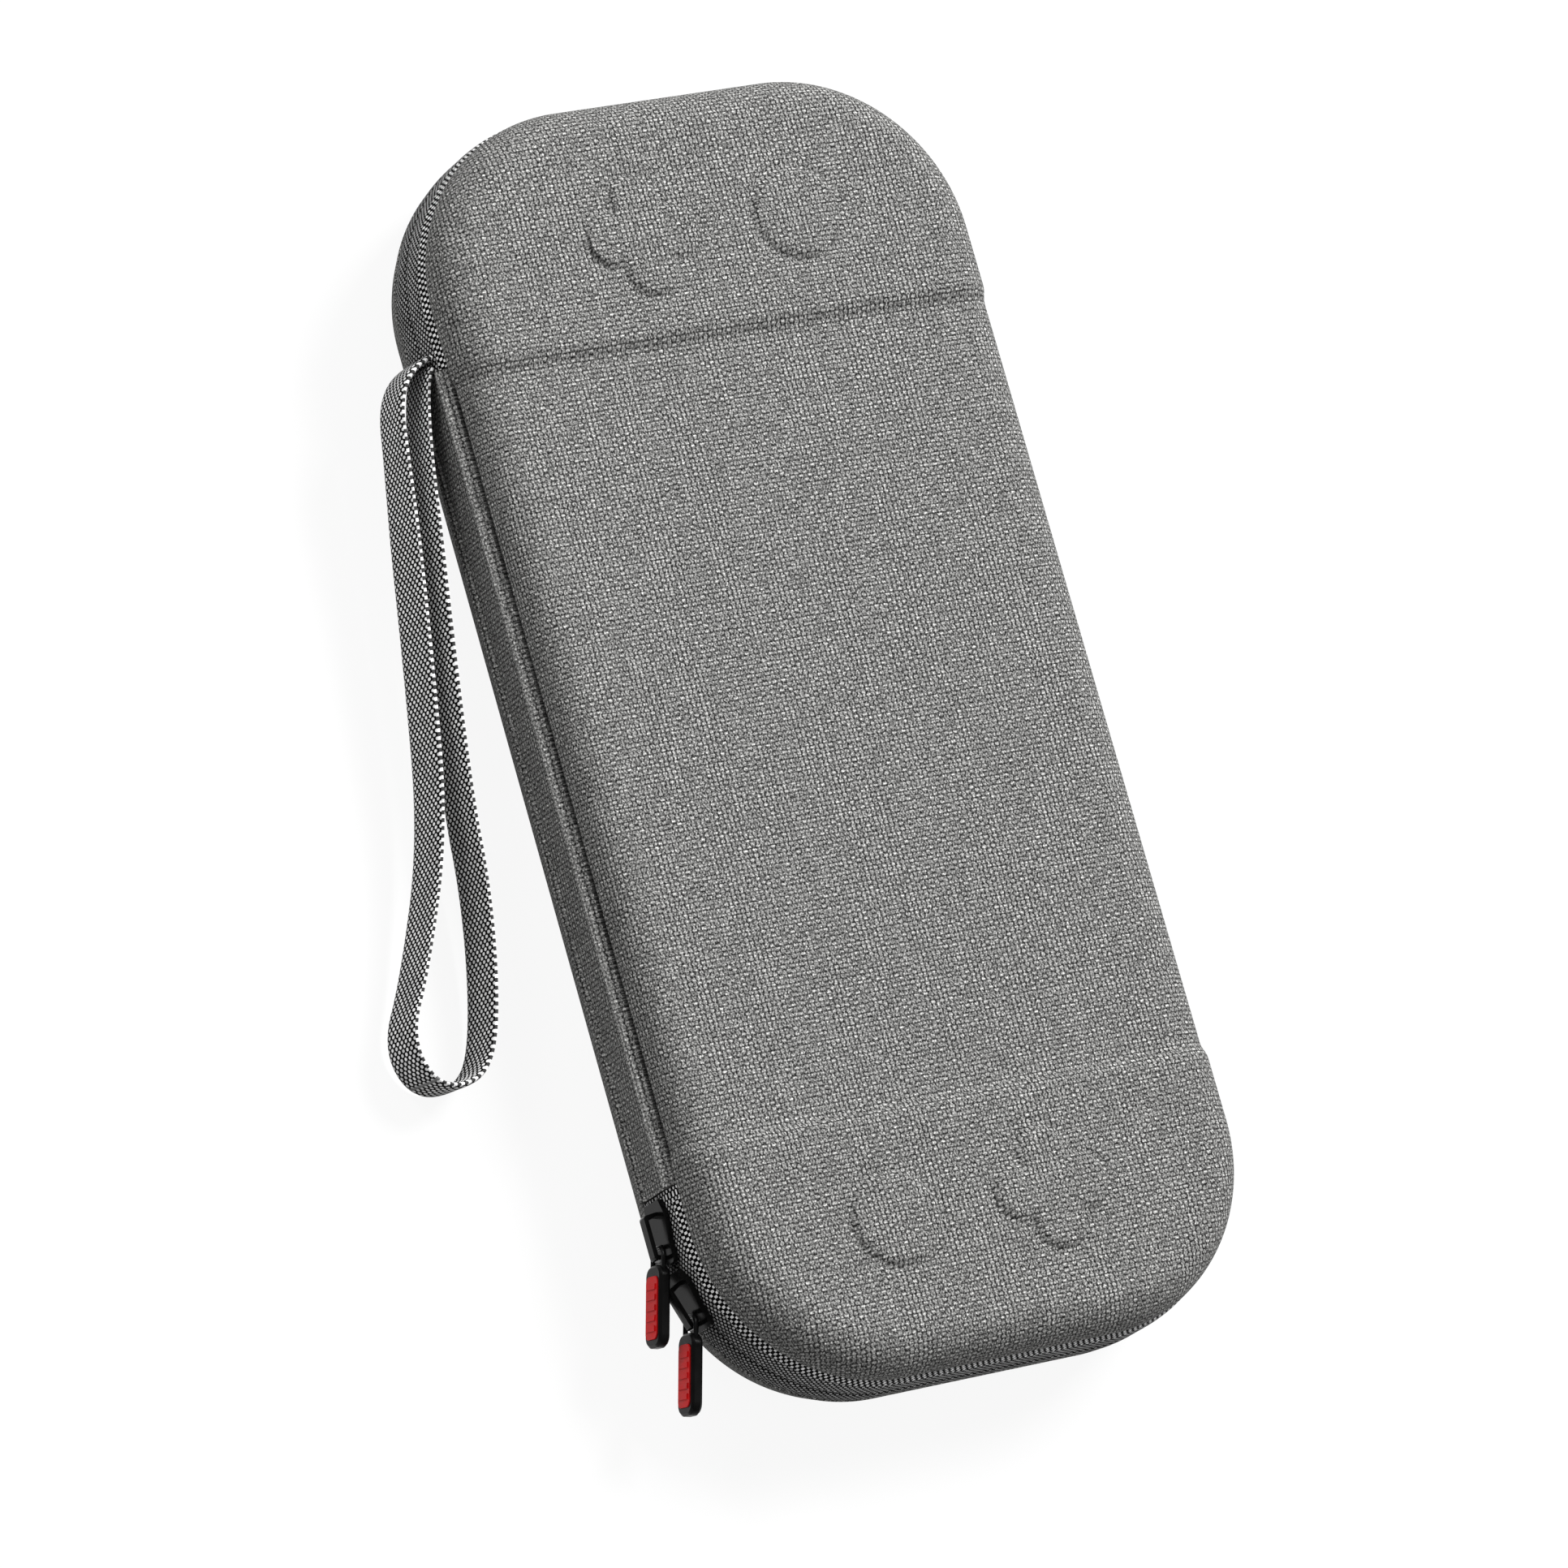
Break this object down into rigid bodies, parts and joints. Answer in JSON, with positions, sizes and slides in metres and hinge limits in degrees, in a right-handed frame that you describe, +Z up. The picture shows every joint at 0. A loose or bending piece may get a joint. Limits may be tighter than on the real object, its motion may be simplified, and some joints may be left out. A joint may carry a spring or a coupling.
{
  "type": "portable game console case",
  "caption": "Zipped hard-shell carrying case with a hinged lid, wrist strap, zip sliders with swinging pulls, divider flap and net pocket, for a handheld game console.",
  "frame": {"origin": "middle of the flat underside", "axes": "+X along the length towards the wrist strap end, +Y towards the spine, +Z up through the lid"},
  "size_m": [0.2624, 0.159, 0.0379],
  "materials": {
    "heather_fabric": "heather grey woven cover over moulded foam",
    "zip_tape": "black and white slanted weave",
    "zip_coil": "black nylon coil",
    "seam_binding": "black woven tape",
    "strap_webbing": "black webbing with white dashes and block selvedge",
    "lining_fabric": "dark brushed knit",
    "elastic_band": "black ribbed elastic",
    "pocket_net": "black net",
    "slider_black": "black moulded, semi-gloss",
    "pull_rubber": "black soft rubber",
    "pull_red": "red soft rubber, ribbed"
  },
  "bodies": {
    "base": {"base_shell": "heather_fabric", "spine_panel": "heather_fabric", "base_zip_tape": "zip_tape", "base_zip_coil": "zip_coil", "base_binding": "seam_binding", "wrist_strap": "strap_webbing", "divider_flap": "lining_fabric", "flap_binding": "seam_binding", "front_card_row": "lining_fabric", "rear_card_row": "lining_fabric", "left_elastic": "elastic_band", "right_elastic": "elastic_band", "parked_slider": "slider_black"},
    "lid": {"lid_shell": "heather_fabric", "lid_zip_tape": "zip_tape", "lid_zip_coil": "zip_coil", "lid_binding": "seam_binding", "net_pocket": "pocket_net", "net_elastic": "elastic_band"},
    "running_slider": {"running_slider": "slider_black"},
    "parked_pull": {"parked_pull_loop": "slider_black", "parked_pull_grip": "pull_rubber", "parked_pull_inlay": "pull_red"},
    "running_pull": {"running_pull_loop": "slider_black", "running_pull_grip": "pull_rubber", "running_pull_inlay": "pull_red"}
  },
  "joints": [
    {"name": "lid_hinge", "type": "hinge", "parent": "base", "child": "lid", "pos_m": [0, 0.06, 0.0284], "axis": [-1, 0, 0], "range_deg": [0, 90], "deforming": ["lid_zip_tape", "lid_zip_coil"]},
    {"name": "running_slider_travel", "type": "hinge", "parent": "base", "child": "running_slider", "pos_m": [-0.094, 0.023, 0.0198], "axis": [0, 0, 1], "range_deg": [0, 60]},
    {"name": "parked_pull_swing", "type": "hinge", "parent": "base", "child": "parked_pull", "pos_m": [-0.0946, 0.0625, 0.0198], "axis": [0.1457, -0.0357, -0.9887], "range_deg": [0, 120]},
    {"name": "running_pull_swing", "type": "hinge", "parent": "running_slider", "child": "running_pull", "pos_m": [-0.10881, 0.05971, 0.0198], "axis": [0.1457, -0.0357, -0.9887], "range_deg": [-25, 12]}
  ]
}
